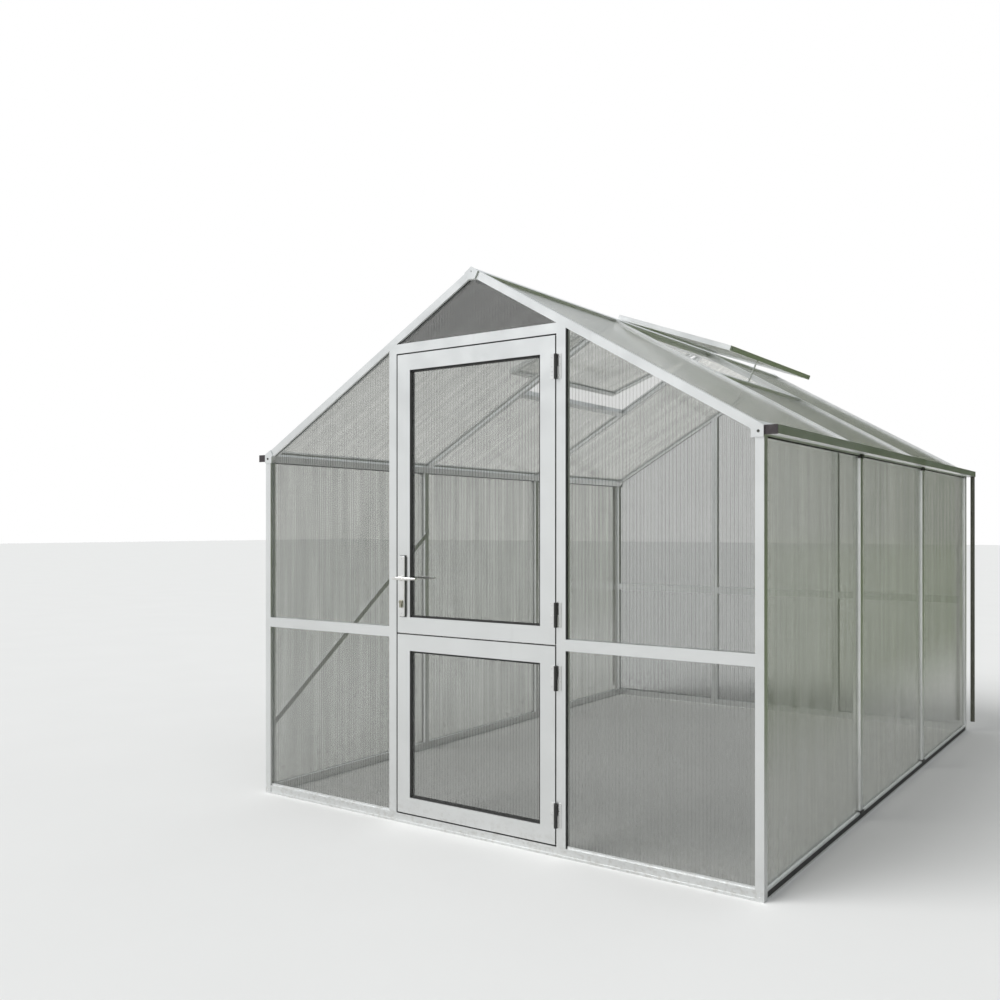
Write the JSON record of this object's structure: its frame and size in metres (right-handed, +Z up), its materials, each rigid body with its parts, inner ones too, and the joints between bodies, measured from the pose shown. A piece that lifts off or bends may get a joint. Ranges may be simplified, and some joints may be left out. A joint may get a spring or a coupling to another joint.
{
  "type": "hobby greenhouse with a stable door",
  "caption": "Free-standing gabled hobby greenhouse: slim aluminium frame, fluted twin-wall sheets, two-leaf stable door, roof windows and gutters.",
  "frame": {"origin": "centre of the footprint's bounding box at ground level", "axes": "+X to the right along the front gable, seen from outside; +Y from the front gable to the back; +Z up"},
  "size_m": [2.602, 3.658, 2.3797],
  "materials": {
    "coated_aluminium": "satin",
    "mill_aluminium": "satin",
    "twin_wall_sheet": "fluted, milky",
    "grey_panel": "fluted, milky",
    "black_plastic": "matte",
    "brown_plastic": "matte",
    "pipe_plastic": "satin",
    "handle_metal": "satin",
    "lock_brass": "worn",
    "hinge_metal": "satin"
  },
  "bodies": {
    "house": {"corner_posts": "coated_aluminium", "door_header": "coated_aluminium", "door_post_hinges": "hinge_metal", "door_posts": "coated_aluminium", "downpipe": "pipe_plastic", "eave_beams": "coated_aluminium", "eave_corner_plates": "coated_aluminium", "front_base_rail": "coated_aluminium", "front_mid_rails": "coated_aluminium", "front_sheets": "twin_wall_sheet", "gable_rafters": "coated_aluminium", "gutter_end_caps": "brown_plastic", "gutters": "coated_aluminium", "left_roof_sheets": "twin_wall_sheet", "left_wall_sheets": "twin_wall_sheet", "peak_sheet": "grey_panel", "rear_base_rail": "coated_aluminium", "rear_mid_rails": "coated_aluminium", "rear_sheets": "twin_wall_sheet", "rear_uprights": "coated_aluminium", "ridge_beam": "coated_aluminium", "ridge_end_plates": "coated_aluminium", "right_roof_sheets": "twin_wall_sheet", "right_wall_sheets": "twin_wall_sheet", "roof_bars": "coated_aluminium", "side_base_rails": "coated_aluminium", "side_post_caps": "black_plastic", "side_posts": "coated_aluminium", "vent_cross_bars": "coated_aluminium", "vent_end_rails": "coated_aluminium", "vent_sheets": "twin_wall_sheet", "vent_side_rails": "coated_aluminium", "vent_stays": "mill_aluminium", "wall_brace": "mill_aluminium"},
    "upper_leaf": {"handle_plates": "handle_metal", "lock_cylinder": "lock_brass", "upper_leaf_hinges": "hinge_metal", "upper_leaf_rails": "coated_aluminium", "upper_leaf_sheet": "twin_wall_sheet", "upper_leaf_stiles": "coated_aluminium"},
    "lower_leaf": {"lower_leaf_hinges": "hinge_metal", "lower_leaf_rails": "coated_aluminium", "lower_leaf_sheet": "twin_wall_sheet", "lower_leaf_stiles": "coated_aluminium"},
    "handle": {"door_handle": "handle_metal"}
  },
  "joints": [
    {"name": "upper_leaf_hinge", "type": "hinge", "parent": "house", "child": "upper_leaf", "pos_m": [0.415, -1.7815, 1.439], "axis": [0, 0, 1], "range_deg": [0, 160]},
    {"name": "lower_leaf_hinge", "type": "hinge", "parent": "house", "child": "lower_leaf", "pos_m": [0.415, -1.7815, 0.4355], "axis": [0, 0, 1], "range_deg": [0, 160]},
    {"name": "handle_turn", "type": "hinge", "parent": "upper_leaf", "child": "handle", "pos_m": [-0.3745, -1.757, 1.071], "axis": [0, 1, 0], "range_deg": [0, 40], "stiffness_Nm_per_rad": 1, "springref_deg": -20.05}
  ]
}
